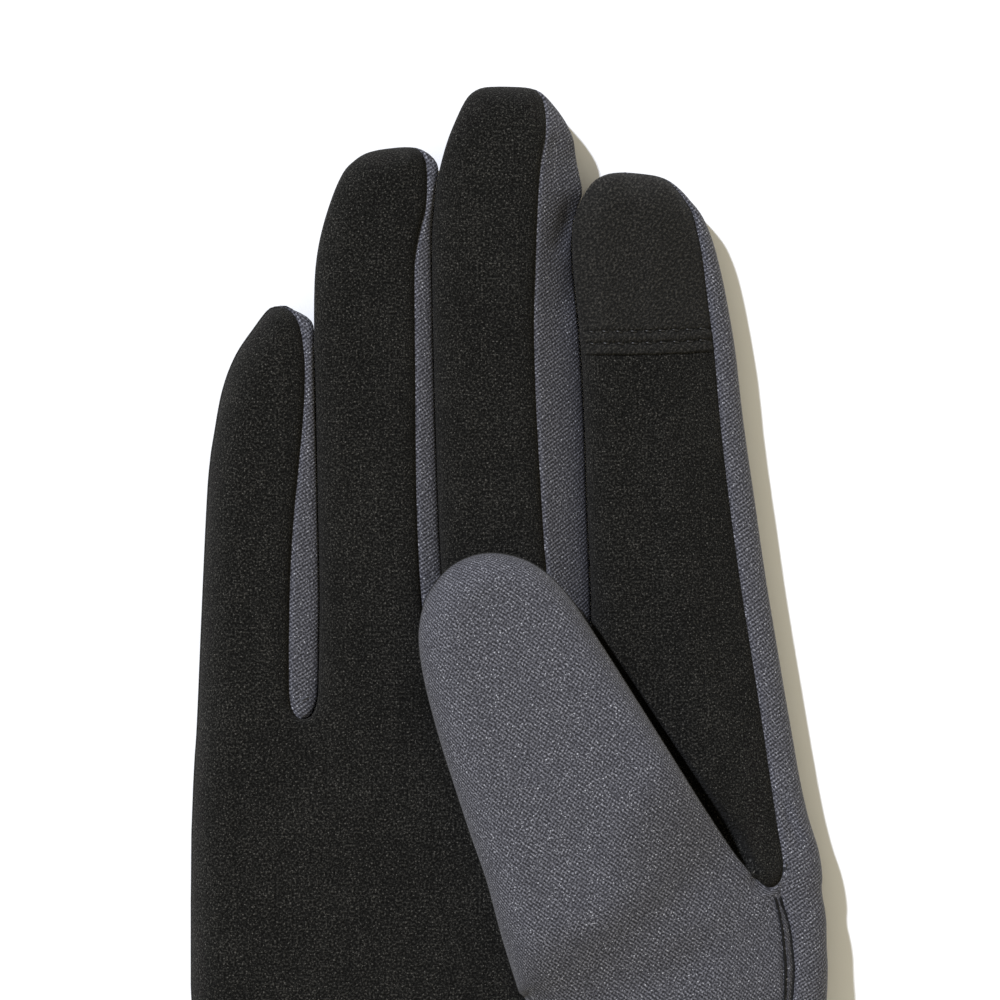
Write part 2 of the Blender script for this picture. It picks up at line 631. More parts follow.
# ---- materials
class Fabric:
    """A material, with short ways to add the nodes that the fabrics share. Distances in a map are mm / 100."""

    def __init__(self, name, **inputs):
        self.mat = bpy.data.materials.new(name)
        self.mat.use_nodes = True
        self.tree = self.mat.node_tree
        self.tree.nodes.clear()
        self.shader = self.add("BsdfPrincipled", **inputs)
        self.tree.links.new(self.shader.outputs[0], self.add("OutputMaterial").inputs["Surface"])
        self.uv = self.add("UVMap")
        self.uv.uv_map = "UVMap"
        self.normal = None

    def put(self, socket, value):
        if hasattr(value, "links"):
            self.tree.links.new(value, socket)
        else:
            socket.default_value = value

    def add(self, kind, **inputs):
        node = self.tree.nodes.new("ShaderNode" + kind)
        for name, value in inputs.items():
            self.put(node.inputs[name.replace("_", " ")], value)
        return node

    def mapped(self, angle=0.0, stretch=(1, 1, 1)):
        return self.add("Mapping", Vector=self.uv.outputs[0], Rotation=(0, 0, math.radians(angle)),
                        Scale=stretch).outputs[0]

    def noise(self, scale, detail=2.0, rough=0.5, stretch=None):
        src = self.mapped(stretch=stretch) if stretch else self.uv.outputs[0]
        return self.add("TexNoise", Vector=src, Scale=scale, Detail=detail, Roughness=rough).outputs[0]

    def ribs(self, period_mm, angle, distortion):
        """Parallel ridges, period_mm apart, at an angle from the U axis."""
        return self.add("TexWave", Vector=self.mapped(angle), Scale=31.4 / period_mm, Distortion=distortion,
                        Detail=1.0, Detail_Scale=2.0).outputs[1]

    def ramp(self, value, stops):
        """A colour ramp from (position, grey or colour) stops."""
        node = self.add("ValToRGB", Fac=value)
        elements = node.color_ramp.elements
        for i, (pos, tone) in zip((0, 1), (stops[0], stops[-1])):
            elements[i].position, elements[i].color = pos, rgba(tone)
        for pos, tone in stops[1:-1]:
            elements.new(pos).color = rgba(tone)
        return node.outputs[0]

    def mixed(self, a, b, fac=1.0, kind="MULTIPLY"):
        node = self.add("Mix")
        node.data_type, node.blend_type = "RGBA", kind
        for i, value in ((0, fac), (6, a), (7, b)):
            self.put(node.inputs[i], value)
        return node.outputs[2]

    def math(self, op, a, b):
        node = self.add("Math")
        node.operation = op
        for socket, value in zip(node.inputs, (a, b)):
            self.put(socket, value)
        return node.outputs[0]

    def bump(self, height, distance, strength):
        """Bumps on top of the ones before."""
        node = self.add("Bump", Height=height, Distance=distance, Strength=strength)
        if self.normal:
            self.put(node.inputs["Normal"], self.normal)
        self.normal = node.outputs[0]
        self.put(self.shader.inputs["Normal"], self.normal)

    def colour(self, value):
        self.put(self.shader.inputs["Base Color"], value)


def rgba(tone):
    return (*tone, 1) if isinstance(tone, tuple) else (tone, tone, tone, 1)


def suede():
    m = Fabric("black_microsuede", Roughness=1.0, Specular_IOR_Level=0.1, Sheen_Weight=0.035, Sheen_Roughness=0.6,
               Sheen_Tint=(0.8, 0.78, 0.75, 1))
    nap = m.noise(45, 3, 0.6, stretch=(1, 0.55, 1))
    grain = m.noise(285, 2, 0.6)
    col = m.mixed(m.ramp(nap, [(0.3, (0.0062, 0.0062, 0.006)), (0.5, (0.0082, 0.0082, 0.0079)),
            (0.72, (0.0112, 0.011, 0.0105))]),
                  m.ramp(m.noise(7), [(0.35, 0.85), (0.65, (1.2, 1.2, 1.19))]))
    col = m.mixed(col, m.ramp(grain, [(0.34, 0.05), (0.47, 0.5), (0.56, (1.45, 1.45, 1.41)),
            (0.66, (4.5, 4.45, 4.2))]))
    fleck = m.ramp(m.noise(330, 0), [(0.7, 0.0), (0.78, 1.0)])
    m.colour(m.mixed(col, (0.085, 0.082, 0.074, 1), fleck, "MIX"))
    m.bump(nap, 0.00045, 0.5)
    m.bump(grain, 0.0005, 1.0)
    return m.mat


def jersey(name="slate_jersey", lift=1.0):
    m = Fabric(name, Roughness=0.86, Specular_IOR_Level=0.3, Sheen_Weight=0.06, Sheen_Roughness=0.45)
    weave = m.math("ADD", m.math("MULTIPLY", m.ribs(0.55, -31, 1.1), 0.64),
                   m.math("MULTIPLY", m.ribs(0.5, 52, 2.2), 0.36))
    yarn = m.noise(310, 1.5, 0.6)
    base = m.ramp(m.noise(34, 3, 0.55), [(0.3, tuple(lift * c for c in (0.058, 0.0588, 0.0712))),
                                         (0.7, tuple(lift * c for c in (0.0705, 0.0712, 0.0845)))])
    col = m.mixed(base, m.ramp(weave, [(0.15, (0.32, 0.32, 0.34)), (0.5, 0.92), (0.88, (1.75, 1.75, 1.72))]))
    col = m.mixed(col, m.ramp(yarn, [(0.36, (0.36, 0.36, 0.38)), (0.5, 0.88), (0.64, (2.0, 2.0, 1.96))]))
    fleck = m.ramp(m.noise(330, 0), [(0.72, 0.0), (0.8, 1.0)])
    m.colour(m.mixed(col, (0.42, 0.43, 0.47, 1), fleck, "MIX"))
    m.bump(weave, 0.00008, 0.8)
    m.bump(yarn, 0.0001, 0.8)
    return m.mat


def twill():
    m = Fabric("black_touch_twill", Roughness=0.85, Specular_IOR_Level=0.2, Sheen_Weight=0.03)
    rib = m.ribs(0.6, 40, 6.0)
    yarn = m.noise(260, 2, 0.7)
    col = m.mixed(m.ramp(m.noise(40), [(0.3, (0.007, 0.0069, 0.0066)), (0.7, (0.0096, 0.0094, 0.0089))]),
                  m.ramp(rib, [(0.1, 0.72), (0.8, (1.18, 1.17, 1.15))]))
    m.colour(m.mixed(col, m.ramp(yarn, [(0.36, 0.2), (0.5, (0.85, 0.85, 0.84)), (0.64, (4.2, 4.1, 3.9))])))
    m.bump(rib, 0.00009, 0.7)
    m.bump(yarn, 0.0002, 0.9)
    return m.mat


def simple(name, col, rough, scale, depth, spec=0.3):
    m = Fabric(name, Roughness=rough, Specular_IOR_Level=spec)
    t = m.noise(scale, 3, 0.6)
    m.colour(m.ramp(t, [(0.3, tuple(c * 0.7 for c in col)), (0.7, tuple(c * 1.3 for c in col))]))
    m.bump(t, depth, 0.8)
    return m.mat


SUEDE = suede()
JERSEY = jersey()
TWILL = twill()
FINE = 0.00005
THREAD = simple("black_thread", (0.007, 0.007, 0.0075), 0.42, 500, FINE, 0.5)
GREY_THREAD = simple("slate_thread", (0.05, 0.053, 0.066), 0.55, 500, FINE, 0.45)
FACING = jersey("grey_facing", 0.62)
SEAM_THREAD = simple("black_seam_thread", (0.005, 0.005, 0.0055), 0.7, 500, FINE, 0.2)
ELASTIC = simple("black_elastic", (0.016, 0.016, 0.017), 0.7, 180, 0.0001)
LABEL = simple("blank_satin", (0.62, 0.62, 0.6), 0.45, 220, 0.00004, 0.5)


# ---- heights
def wavy(p, size, seed):
    """A smooth bumpy field in about -1..1."""
    r = np.random.RandomState(seed)
    total = np.zeros(len(p))
    for _ in range(6):
        a = r.uniform(0, math.tau)
        k = math.tau / size * r.uniform(0.7, 1.5)
        total += np.sin(k * (p[:, 0] * math.cos(a) + p[:, 1] * math.sin(a)) + r.uniform(0, math.tau))
    return total / 6


def dent(p, a, b, width, depth):
    """A soft groove from a to b."""
    a, b = np.array(a, float), np.array(b, float)
    ab = b - a
    t = np.clip(((p[:, :2] - a) @ ab) / (ab @ ab), 0, 1)
    d = np.linalg.norm(p[:, :2] - a - t[:, None] * ab, axis=1)
    return -depth * np.exp(-(d / width) ** 2) * (1 - 0.5 * np.abs(2 * t - 1) ** 3)


def folds(p):
    """Creases and dimples in the grey sides."""
    return (dent(p, (10.0, 101.5), (8.0, 94.0), 1.3, 1.1) + dent(p, (8.2, 111.6), (6.6, 109.6), 0.9, 0.4)
            + dent(p, (9.4, 88.0), (8.2, 80.0), 1.8, 0.35) + dent(p, (44.0, 4.4), (46.6, -1.6), 1.0, 0.6) - dent(p,
                    (44.9, 5.6), (48.2, -1.2), 0.8, 0.5)
            + dent(p, (-12.4, 99.5), (-11.9, 95.5), 0.8, 0.35) + 0.06 * wavy(p, 7, 21))


def gathers(p):
    """Small upright pleats where the elastic draws the wrist in."""
    k = np.exp(-((p[:, 1] - WRIST_Y) / 6.5) ** 2)
    return k * (0.32 * np.sin(p[:, 0] * 1.95 + 0.5 * np.sin(p[:, 0] * 0.6)) - 0.35)


# The palm sinks in under the thumb's right edge, deepest towards the crotch of the thumb: x, y, depth, half width
VALLEY = [(5.4, 42.2, 0.2, 0.7), (9.6, 37.9, 0.9, 0.75), (14.0, 31.1, 1.9, 0.8), (18.3, 24.8, 3.0, 0.95),
          (22.35, 18.4, 4.2, 1.05),
          (26.5, 12.1, 5.2, 1.3), (30.7, 5.8, 6.0, 1.5), (35.2, -0.4, 5.8, 1.75), (38.0, -4.7, 4.0, 1.3)]


def valley(p):
    d = np.full(len(p), 1e9)
    deep, wide = np.zeros(len(p)), np.ones(len(p))
    for (ax, ay, da, wa), (bx, by, db, wb) in zip(VALLEY, VALLEY[1:]):
        a, ab = np.array([ax, ay]), np.array([bx - ax, by - ay])
        t = np.clip(((p[:, :2] - a) @ ab) / (ab @ ab), 0, 1)
        dist = np.linalg.norm(p[:, :2] - a - t[:, None] * ab, axis=1)
        nearer = dist < d
        d = np.where(nearer, dist, d)
        deep = np.where(nearer, mix(da, db, t), deep)
        wide = np.where(nearer, mix(wa, wb, t), wide)
    return -deep * np.exp(-(d / wide) ** 6)


def palm_top(p):
    z = TOP_Z - 0.2 + 0.14 * wavy(p, 26, 3) + 0.05 * wavy(p, 9, 4)
    z += dent(p, (-10.2, 30), (-5.0, 2), 3.2, 0.7)
    z -= 1.1 * ease((p[:, 0] - 14) / 10) * ease((p[:, 1] - 4) / 16)
    z += dent(p, (-35, 14), (-24, -14), 9, 0.3) + dent(p, (-14, 6), (-12, -30), 7, 0.25)
    z += gathers(p) + valley(p)
    return np.minimum(z, TOP_Z + 0.05)


U_CORNER = np.array([41.0, -7.0])


def thumb_top(p):
    v = THUMB.v(p)
    near_base = ease((v + 8) / 16)
    root_z = mix(TOP_Z + 0.2, THUMB_TOP - 5.2, ease((v + 47) / 43))
    z = mix(root_z, THUMB_TOP - 0.25, near_base)
    d = np.linalg.norm(p[:, :2] - U_CORNER, axis=1)
    z = mix(np.minimum(z, TOP_Z + 0.6), z, ease((d - 1.5) / 25))
    z = z - 1.7 * ease((-8 - p[:, 1]) / 20) * (1 - ease((-30 - p[:, 1]) / 24))
    z = z + 0.16 * wavy(p, 22, 11) + 0.06 * wavy(p, 8, 12)
    z += dent(p, (31, -5), (15, -18.5), 3.6, 0.5) - dent(p, (38, -8.5), (23, -18.5), 3.2, 0.55)
    return z


def needle_line(p):
    """Where the topstitching beside the thumb root's outer seam runs, by y."""
    y = p[:, 1]
    x = np.interp(y, [-120, -30, -26.4, -21.4, -18.6, -15, -12.5, -9.6], [0, 0, 44.0, 44.1, 43.9, 43.6, 43.15, 42.4])
    return np.where(y < -26.4, side_seam(y) - 1.25, x)


def needle_groove(p):
    fade = np.clip((-p[:, 1] - 9.4) / 1.2, 0, 1)
    return -0.5 * fade * np.exp(-((p[:, 0] - needle_line(p)) / 0.24) ** 2)


def flat(z):
    return lambda p: np.full(len(p), z)


# ---- palm
n_cuff = even([C_R2[-1], S["ul"].p[0]], 1.2)
strips = [S["ul"], S["1"], S["2"], S["3"], S["r"]]
for a, b in zip(strips[:-1], strips[1:]):
    for field in ("p", "e", "b", "zp", "zw", "zb", "groove"):
        m = (getattr(a, field)[-1] + getattr(b, field)[0]) / 2
        getattr(a, field)[-1] = m
        getattr(b, field)[0] = m
    a.out[-1] = a.e[-1] - a.p[-1]
    b.out[0] = b.e[0] - b.p[0]
n1 = len(C_R1)
n2 = n1 + len(D) - 1
SR = S["r"]


def rim_width(s):
    return blur(np.where(s.zp > 11.8, 4.2, 5.2), 3)


palm = Region([
    (S["ul"].p, S["ul"].zp, 5.5, S["ul"].groove),
    *[(s.p, s.zp, rim_width(s), s.groove) for s in strips[1:4]],
    (SR.p[:n1], SR.zp[:n1], np.interp(SR.p[:n1, 1], [0, 90, 104], [13, 12, 6]), SR.groove[:n1], 0.85),
    (C_U, np.linspace(SR.zp[n1 - 1], 12.6, len(C_U)), 5.0, 0.35, 0.5),
    (C_B, 13.2, 3.0, 0.1),
    (C_L, np.linspace(13.2, 13.0, len(C_L)), 4.0, 0.45),
    (C_W, 13.3, 3.0, 0.45),
    (SR.p[n2 - 1:], SR.zp[n2 - 1:], 5.0, 0.5),
    (n_cuff, 8.7 + 4.7 * np.sqrt(1 - (1 - np.clip((n_cuff[:, 0] - n_cuff[-1, 0]) / 5.5, 0, 1)) ** 2), 6.0,
     0.0)], palm_top)
vc = even(np.array(VALLEY)[:, :2], 0.7)
vn = normals(vc)
palm_net = region_net(palm, 1.35, extra=np.vstack([vc + vn * k for k in (-1.5, -1.0, -0.5, 0.0, 0.4, 0.75, 1.05, 1.3,
        1.55, 1.8, 2.1)]))

labels = {}
for f, c in zip(palm_net.f, palm_net.centre):
    labels.setdefault(zone_of(c), []).append(f)

strip_nets = {k: strip_net(s) for k, s in S.items()}


def strip_faces(key):
    """A strip's faces by (finger, zone)."""
    s, net = S[key], strip_nets[key]
    n = len(s.p)
    out = {}
    for k, f in enumerate(net.f):
        j = k % (n - 1)
        p = (s.p[j] + s.p[j + 1]) / 2
        owner = s.owner[j]
        z = 0 if p[1] < CROTCH_Y + 2 else zone(owner, p)
        out.setdefault((owner, z), []).append(f)
    return out


class Join(Net):
    """Several nets as one."""

    def __init__(self, nets):
        self.v = np.vstack([n.v for n in nets])
        self.n = np.vstack([n.n for n in nets])
        self.uv = np.vstack([n.uv for n in nets])
        self.start = np.cumsum([0] + [len(n.v) for n in nets])


def shift(faces, by):
    return [tuple(k + by for k in f) for f in faces]


def weld(base, strip, row):
    """Both nets as one, and the strip's points in row that give way to the base's points at the same places."""
    both = Join([base, strip])
    at = {tuple(np.round(v[:2], 4)): i for i, v in enumerate(base.v)}
    gone = {}
    for j in row:
        i = at.get(tuple(np.round(strip.v[j][:2], 4)))
        if i is not None:
            m = base.n[i] + strip.n[j]
            both.n[i] = m / np.linalg.norm(m)
            gone[both.start[1] + j] = i
    return both, gone


def welded(faces, both, gone):
    return [tuple(gone.get(k, k) for k in f) for f in shift(faces, both.start[1])]


# The outer side of the little finger belongs to the palm panel, and its normals run on from it
both, gone = weld(palm_net, strip_nets["ul"], range(len(S["ul"].p)))
ul_faces = strip_faces("ul")


def black_of(key_palm, key_ul):
    return labels.get(key_palm, []) + welded(ul_faces.get(key_ul, []), both, gone)


make("palm_suede", both, black_of(("hand", 0), ("little", 0)), SUEDE, body="hand", replaces=["palm_panel"],
     slot="black_suede", thick=1.2)
HEM = 1.9
for f in FINGERS:
    for z, part, bl in finger_parts(f):
        faces = black_of((f, z), (f, z) if f == "little" else None)
        if f == "index" and z == 2:
            faces = [q for q in faces if END[f].v(both.v[list(q)].mean(0)) < HEM + 2.5]
            make("index_suede_under_patch", both, faces, SUEDE, blend=bl, slot="black_suede", thick=0.7)
            continue
        make(f + "_" + part + "_suede", both, faces, SUEDE, blend=bl, replaces=[f + "_" + part + "_palm"],
             slot="black_suede")

# ---- touch patch
END_I = END["index"]


def hem_v(u):
    """The patch's folded lower edge, which sags a little towards the middle."""
    return HEM - 0.052 * u - 0.28 * np.cos(np.clip((u + 3) / 11.0, -1, 1) * math.pi / 2) + 0.04 * np.sin(u * 1.3)


tip_poly = np.vstack([S["3"].p[np.argmin(S["3"].p[:, 1]):], SR.p[1:n1]])
tv = END_I.v(tip_poly)
tu = (tip_poly - END_I.o) @ END_I.across
tip_poly = tip_poly[tv > hem_v(tu)]
ends = [tip_poly[-1], tip_poly[0]]
eu = [float((e - END_I.o) @ END_I.across) for e in ends]
hem_u = np.linspace(eu[0], eu[1], 40)
hem_line = END_I.o + END_I.across * hem_u[:, None] + END_I.along * hem_v(hem_u)[:, None]
patch_edge = np.vstack([tip_poly, hem_line[1:-1], tip_poly[:1]])
patch = Region([(patch_edge, 0.0, 0.5, 0.0)], flat(0.42))
ROWS = (1.8, 3.7)
u = np.linspace(eu[1], eu[0], 70)
row_points = [END_I.o + END_I.across * u[:, None] + END_I.along * (hem_v(u) + r + k)[:,
        None] for r in ROWS for k in (-0.5, -0.22, 0.0, 0.22, 0.5)]
pv, ptri = patch.mesh(0.55, (0.12, 0.25, 0.45), np.vstack(row_points))
facts = palm.near(pv[:, :2])
ground = palm.height(pv[:, :2], facts)
# Only the hem stands proud with a rounded edge: along the side seams the patch is caught in the seam
v_hem = END_I.v(pv[:, :2]) - hem_v((pv[:, :2] - END_I.o) @ END_I.across)
edge = np.clip(v_hem / 0.45, 0, 1)
lift = 0.5 * np.sqrt(1 - (1 - edge) ** 2) * (1 - 0.85 * np.exp(-(facts[:, 0] / 0.5) ** 2))
lift = np.maximum(lift, 0.06)
# The two rows of stitches pull it down
for row in ROWS:
    lift -= 0.5 * np.exp(-((v_hem - row) / 0.24) ** 2)
lift += 0.14 * np.exp(-((v_hem - 2.75) / 0.5) ** 2)
pv[:, 2] = ground + np.maximum(lift, -0.12)
patch_net = Net(pv, [tuple(t) for t in ptri], (pv[:, :2] @ np.array([END_I.across, END_I.along]).T) / 100)
make("index_touch_twill", patch_net, patch_net.f, TWILL, blend=second_blend("index"), replaces=["index_touch_patch"],
     slot="black_touch_twill", thick=0.45)


# ---- grey sides and back
for key, (f, g) in PAIRS.items():
    by = strip_faces(key)
    make("fourchette_%s_%s_jersey" % (f, g), strip_nets[key], by[(f, 0)] + by[(g, 0)], JERSEY, body="hand",
         replaces=["fourchette_%s_%s" % (f, g)], slot="grey_jersey", thick=0.8)
    for parts in zip(finger_parts(f), finger_parts(g)):
        for (z, part, bl), owner, side in zip(parts, (f, g), ("right", "left")):
            node = "%s_%s_%s" % (owner, part, side)
            make(node + "_jersey", strip_nets[key], by[(owner, z)], JERSEY, blend=bl, replaces=[node],
                 slot="grey_jersey", thick=0.8)

cuff_b = even([SR.b[-1], S["ul"].b[0]], 1.2)
back = Region([(s.b, s.zb, w, -0.25) for s, w in zip(strips, (2.6, 2.4, 2.4, 2.4, 3.2))] + [(cuff_b, 0.3, 3.0, 0.0)],
              flat(0.02))
back_net = region_net(back, 2.0, flip=True, rings=(0.3, 0.7, 1.2, 2.0))
nr = len(SR.p)
last = len(strip_nets["r"].v) - nr
all_back, back_gone = weld(back_net, strip_nets["r"], range(last, last + nr))
r_faces = {k: welded(fs, all_back, back_gone) for k, fs in strip_faces("r").items()}
back_labels = {}
for f, c in zip(back_net.f, back_net.centre):
    back_labels.setdefault(zone_of(c), []).append(f)
make("back_jersey", all_back, back_labels[("hand", 0)] + r_faces[("index", 0)], JERSEY, body="hand",
     replaces=["back_panel"], slot="grey_jersey", thick=1.1)
for f in FINGERS:
    for z, part, bl in finger_parts(f):
        faces = back_labels[(f, z)] + (r_faces[("index", z)] if f == "index" else [])
        make(f + "_" + part + "_back_jersey", all_back, faces, JERSEY, blend=bl, replaces=[f + "_" + part + "_back"],
             slot="grey_jersey")

# ---- thumb
free = catmull(np.vstack([
    BASE_LEFT[None], [[-1.2, -16], [-3.6, -7], [-6.2, 0.5], [-9.0, 9], [-11.2, 16], [-13.2, 23.5], [-14.2, 29],
            [-14.3, 33.5], [-13.0, 38.4], [-9.4, 42.9], [-4.6, 45.0]],
    [[0.4, 44.7], [5.0, 42.6], [9.6, 38.0], [14.2, 31.2], [20.2, 21.8], [26.2, 12.2], [31.2, 4.2],
     [36.0, -3.0]], C_U[-1][None]]))
apex_i = int(np.argmax(free[:, 1]))
fv = THUMB.v(free)
is_right = np.arange(len(free)) > apex_i
z_left = mix(TOP_Z + 0.1, THUMB_LOW + 4.6, ease((fv + 1) / 16))
z_right = mix(13.0, THUMB_LOW + 7.0, ease((fv + 0.5) / 24))
free_z = blur(np.where(is_right, z_right, z_left), 4)
free_z[0], free_z[-1] = TOP_Z - 0.4, 12.6
free_w = blur(np.where(is_right, mix(6.0, 3.2, ease(fv / 20)), 6.0), 6)
root_parts = [
    (free, free_z, free_w, mix(0.1, 0.45, is_right * 1.0), is_right * 0.3),
    (C_U[::-1], np.linspace(12.6, SR.zp[n1 - 1], len(C_U)), 9.0, 0.3, 1.0),
    (SR.p[n1 - 1:n2], SR.zp[n1 - 1:n2], 15.0, SR.groove[n1 - 1:n2] * hidden_seam[n1 - 1:n2], 1.0),
    (C_W[::-1], 13.3, 8.0, 0.45, 0.7),
    (C_L[::-1], np.linspace(13.0, 13.2, len(C_L)), 8.5, 0.45, 0.3)]
thumb = Region(root_parts, thumb_top)
flat_height = thumb.height
thumb.height = lambda p, facts=None: flat_height(p, facts) + needle_groove(np.asarray(p))
turn = math.atan2(THUMB.along[1], THUMB.along[0]) - math.pi / 2
thumb_net = region_net(thumb, 1.3, turn=turn, rings=(0.2, 0.45, 0.75, 1.0, 1.25, 1.5, 1.8, 2.4, 3.3))
# Where the thumb's second bend begins, and where its touch patch does
BEND_V, PATCH_V = 22, 40
by = {0: [], 1: [], 2: []}
for f, c in zip(thumb_net.f, thumb_net.centre):
    v = THUMB.v(c)
    by[0 if v < 0 else 1 if v < BEND_V else 2].append(f)
T1 = ("hand", "thumb", THUMB.point(0), THUMB.point(20))
T2 = ("thumb", "thumb_tip", THUMB.point(25), THUMB.point(THUMB_GAP + 10))
make("thumb_root_jersey", thumb_net, by[0], JERSEY, body="hand", replaces=["thumb_root"], slot="grey_jersey",
     thick=1.1)
make("thumb_jersey", thumb_net, by[1], JERSEY, blend=T1, replaces=["thumb_back"], slot="grey_jersey")
make("thumb_tip_jersey", thumb_net, by[2], JERSEY, blend=T2, replaces=["thumb_tip_back"], slot="grey_jersey")

# The thumb's inner panel: from the grey edge out and under to a flat face that lies on the palm
free_n = normals(free)
low_z = np.minimum(THUMB_LOW + 0.05, free_z - 1.6)
under = Strip(free, free_n * 0.12, free_z, mix(low_z, free_z, 0.3), np.full(len(free), 1.6), low_z,
              np.where(is_right, 0.45, 0.1), ["thumb"] * len(free))
under.b[0], under.b[-1] = free[0] + [1.6, -0.2], free[-1] - [1.6, 0.5]
under_net = strip_net(under, 5, 3, 5)
closing = even([under.b[-1], mix(under.b[-1], under.b[0], 0.5), under.b[0]], 1.5)
floor_region = Region([(under.b, low_z, 3.0, 0.0), (closing, np.linspace(low_z[-1], low_z[0], len(closing)), 3.0,
        0.0)],
                      flat(THUMB_LOW + 0.05))
floor_net = region_net(floor_region, 2.4, flip=True, turn=turn, rings=(0.8,))
low = Join([floor_net, under_net])
low_faces = {1: [], 2: []}
for net, start in ((floor_net, 0), (under_net, low.start[1])):
    for f, c in zip(net.f, net.centre):
        low_faces[1 if THUMB.v(c) < BEND_V else 2].append(tuple(k + start for k in f))
make("thumb_inner_suede", low, low_faces[1], SUEDE, blend=T1, replaces=["thumb_palm"], slot="black_suede", thick=0.7)
tip_low, patch_low = [], []
for f in low_faces[2]:
    (tip_low if THUMB.v(low.v[list(f)].mean(0)) < PATCH_V else patch_low).append(f)
make("thumb_tip_suede", low, tip_low, SUEDE, blend=T2, slot="black_suede", thick=0.7)
make("thumb_touch_twill", low, patch_low, TWILL, blend=T2, replaces=["thumb_touch_patch"], slot="black_touch_twill",
     thick=0.9)


# ---- thread
def stitches(name, lines, mat, radius=0.17, length=1.55, pitch=2.25, sink=0.5, slant=0.0, arch=2.2, **ties):
    """Rows of short arched threads along 3-D lines that run over the fabric's surface."""
    verts, faces = [], []
    for line in lines:
        line = np.asarray(line, float)
        s = np.r_[0, np.cumsum(np.linalg.norm(np.diff(line, axis=0), axis=1))]
        n = int(s[-1] / pitch)
        for k in range(n):
            mid = (k + 0.5) * s[-1] / n + rng.uniform(-0.06, 0.06)
            q = np.linspace(mid - length / 2, mid + length / 2, 7)
            c = np.array([np.interp(q, s, line[:, i]) for i in range(3)]).T
            t = np.linspace(-1, 1, 7)
            c[:, 2] += radius * (1.0 - arch * np.abs(t) ** 3) - radius * sink
            d = c[-1] - c[0]
            d /= np.linalg.norm(d)
            across = np.cross(d, [0, 0, 1.0])
            across /= np.linalg.norm(across)
            c += across * (t * slant)[:, None]
            up = np.cross(across, d)
            start = len(verts)
            for i in range(7):
                r = radius * (1 - 0.45 * abs(t[i]) ** 4)
                for j in range(6):
                    a = j * math.tau / 6
                    verts.append(c[i] + across * math.cos(a) * r + up * math.sin(a) * r)
            for i in range(6):
                for j in range(6):
                    a, b = start + i * 6 + j, start + i * 6 + (j + 1) % 6
                    faces.append((a, b, b + 6, a + 6))
            faces.append(tuple(start + j for j in reversed(range(6))))
            faces.append(tuple(start + 36 + j for j in range(6)))
    verts = np.array(verts)
    new_object(name, verts, faces, verts[:, :2] / 100, mat, slot="sewing_thread", **ties)


rows = []
for row in ROWS:
    u = np.linspace(eu[1] + 0.9, eu[0] - 0.7, 60)
    p = END_I.o + END_I.across * u[:, None] + END_I.along * (hem_v(u) + row)[:, None]
    rows.append(np.c_[p, palm.height(p) + 0.24])
stitches("touch_patch_stitches", rows, THREAD, radius=0.2, length=1.45, blend=second_blend("index"),
         replaces=["index_patch_stitching"], slant=0.12)

y = np.linspace(-10.0, ROOT_END[1] + 2, 260)
seam_rows = []
for x, sink in ((needle_line(np.c_[y, y]), 0.02), (side_seam(y) - 0.02, 0.1)):
    p = np.c_[x, y]
    seam_rows.append(np.c_[p, flat_height(p) - sink])
stitches("thumb_root_stitches", seam_rows[:1], SEAM_THREAD, radius=0.17, length=2.5, pitch=2.0, body="hand", sink=0.3,
         arch=0.25)
stitches("thumb_root_seam", seam_rows[1:], SEAM_THREAD, radius=0.24, length=2.5, pitch=2.0, body="hand", sink=0.35,
         arch=0.25)
tack = []
for k in range(4):
    x = -33.9 + 0.35 * k
    tack.append([(x - 0.9, 20.9 + 0.25 * k, 11.6), (x + 0.9, 21.3 + 0.25 * k, 11.5)])
stitches("crotch_bar_tack", tack, GREY_THREAD, radius=0.14, length=1.6, pitch=1.8, body="hand", sink=0.2)

y0 = CUFF_Y + 16.0
x = np.linspace(-float(hand_half(y0)) + 7, float(side_seam(y0)) - 2, 120)
p = np.c_[x, np.full_like(x, y0)]
stitches("cuff_stitches", [np.c_[p, palm.height(p) + 0.02]], THREAD, radius=0.15, body="hand",
         replaces=["cuff_stitching"], sink=0.6)
wr = []
for off in (-2.2, 2.2):
    x = np.linspace(-float(hand_half(WRIST_Y)) + 8, 14, 120)
    p = np.c_[x, np.full_like(x, WRIST_Y + off)]
    wr.append(np.c_[p, palm.height(p) + 0.02])
stitches("wrist_stitches", wr, THREAD, radius=0.14, body="hand", sink=0.8)


# ---- inside the cuff
def sheet_piece(name, grid, mat, thick, replaces, slot):
    """A shell from a rows x columns grid of points."""
    g = np.asarray(grid, float)
    n, cols = g.shape[:2]
    faces = [(k, k + 1, k + cols + 1, k + cols) for i in range(n - 1) for k in range(i * cols, (i + 1) * cols - 1)]
    du = np.cumsum(np.r_[0, np.linalg.norm(np.diff(g[0], axis=0), axis=1)])
    dv = np.cumsum(np.r_[0, np.linalg.norm(np.diff(g[:, 0], axis=0), axis=1)])
    uv = np.array([(a, b) for b in dv for a in du]) / 100
    make(name, Net(g.reshape(-1, 3), faces, uv), faces, mat, thick, body="hand", replaces=[replaces], slot=slot)


def box_mm(name):
    return (np.array(corner) * 1e3 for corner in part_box(name))


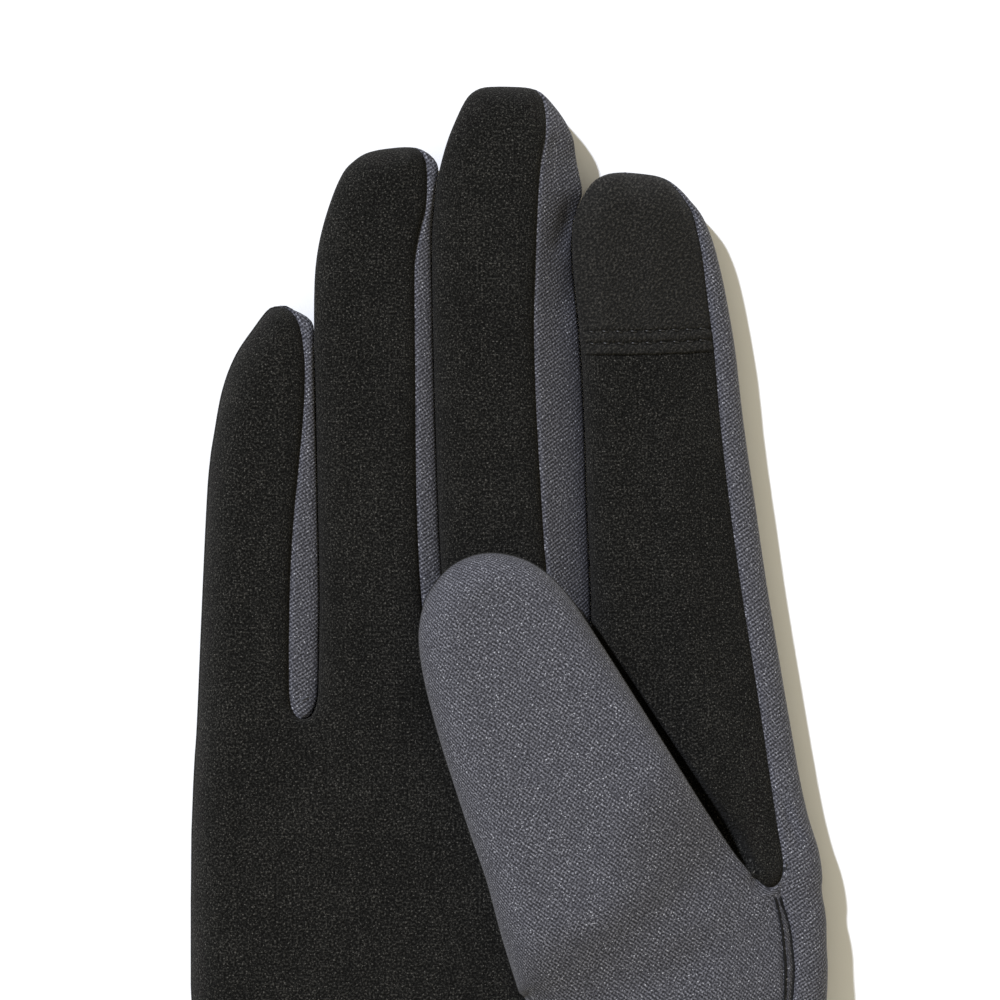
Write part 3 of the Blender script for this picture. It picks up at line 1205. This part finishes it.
lo, hi = box_mm("cuff_facing")
grid = []
for yy in np.linspace(lo[1] + 0.3, hi[1], 14):
    hl = float(hand_half(yy)) - 2.2
    ring = []
    for t in np.linspace(0, 1, 90):
        a = t * math.tau + math.pi
        cx, sx = math.cos(a), math.sin(a)
        x = hl * math.copysign(abs(cx) ** 0.42, cx)
        z = 6.9 + 4.9 * math.copysign(abs(sx) ** 0.55, sx)
        ring.append((x - 0.8 * (z > 7) * max(0, x / hl) * (z - 7), yy, z + 0.05 * math.sin(9 * x)))
    grid.append(ring)
sheet_piece("cuff_facing_jersey", grid, FACING, 0.6, "cuff_facing", "grey_facing")
lo, hi = box_mm("wrist_elastic")
grid = [[(x, yy, hi[2] - 0.45 + 0.12 * math.sin(x * 1.95) + 0.1 * math.sin(3 * yy)) for x in np.linspace(lo[0], hi[0],
        160)]
        for yy in np.linspace(lo[1], hi[1], 14)]
sheet_piece("wrist_elastic_band", grid, ELASTIC, 0.7, "wrist_elastic", "black_elastic")
lo, hi = box_mm("care_label")
grid = [[(x, yy, lo[2] + 0.45 + 0.35 * ((yy - lo[1]) / 16) ** 2 + 0.12 * math.sin(x * 0.8)) for x in np.linspace(lo[0],
        hi[0], 16)]
        for yy in np.linspace(lo[1], hi[1], 22)]
sheet_piece("care_label_satin", grid, LABEL, 0.3, "care_label", "white_label")

# ---- stage, light and camera
mesh = bpy.data.meshes.new("floor")
mesh.from_pydata([(-3, -3, 0), (3, -3, 0), (3, 3, 0), (-3, 3, 0)], [], [(0, 1, 2, 3)])
floor = placed("floor", mesh)
floor.location.z = -0.0002
fm = bpy.data.materials.new("pale_floor")
fm.use_nodes = True
fb = fm.node_tree.nodes["Principled BSDF"]
fb.inputs["Base Color"].default_value = (0.955, 0.955, 0.955, 1)
fb.inputs["Roughness"].default_value = 0.9
mesh.materials.append(fm)

sun = bpy.data.lights.new("sun", "SUN")
sun.energy = 3.7
sun.angle = math.radians(2.2)
sun.color = (0.83, 0.875, 1.0)
sun_ob = placed("sun", sun)
elev = math.radians(49.5)
to_light = Vector((-0.66 * math.cos(elev), 0.751 * math.cos(elev), math.sin(elev)))
sun_ob.rotation_euler = to_light.to_track_quat("Z", "Y").to_euler()
world = bpy.data.worlds.new("soft")
world.use_nodes = True
world.node_tree.nodes["Background"].inputs[0].default_value = (0.59, 0.54, 0.415, 1)
world.node_tree.nodes["Background"].inputs[1].default_value = 1.0
bpy.context.scene.world = world
bpy.context.scene.view_settings.view_transform = "Standard"

cam = bpy.data.cameras.new("camera")
cam.lens = 200
cam.sensor_width = 36
cam_ob = placed("camera", cam)
VIEW = 0.160
cam_ob.location = (-0.0015, 0.0536, 0.012 + VIEW * cam.lens / cam.sensor_width)
cam.clip_end = 10
bpy.context.scene.camera = cam_ob
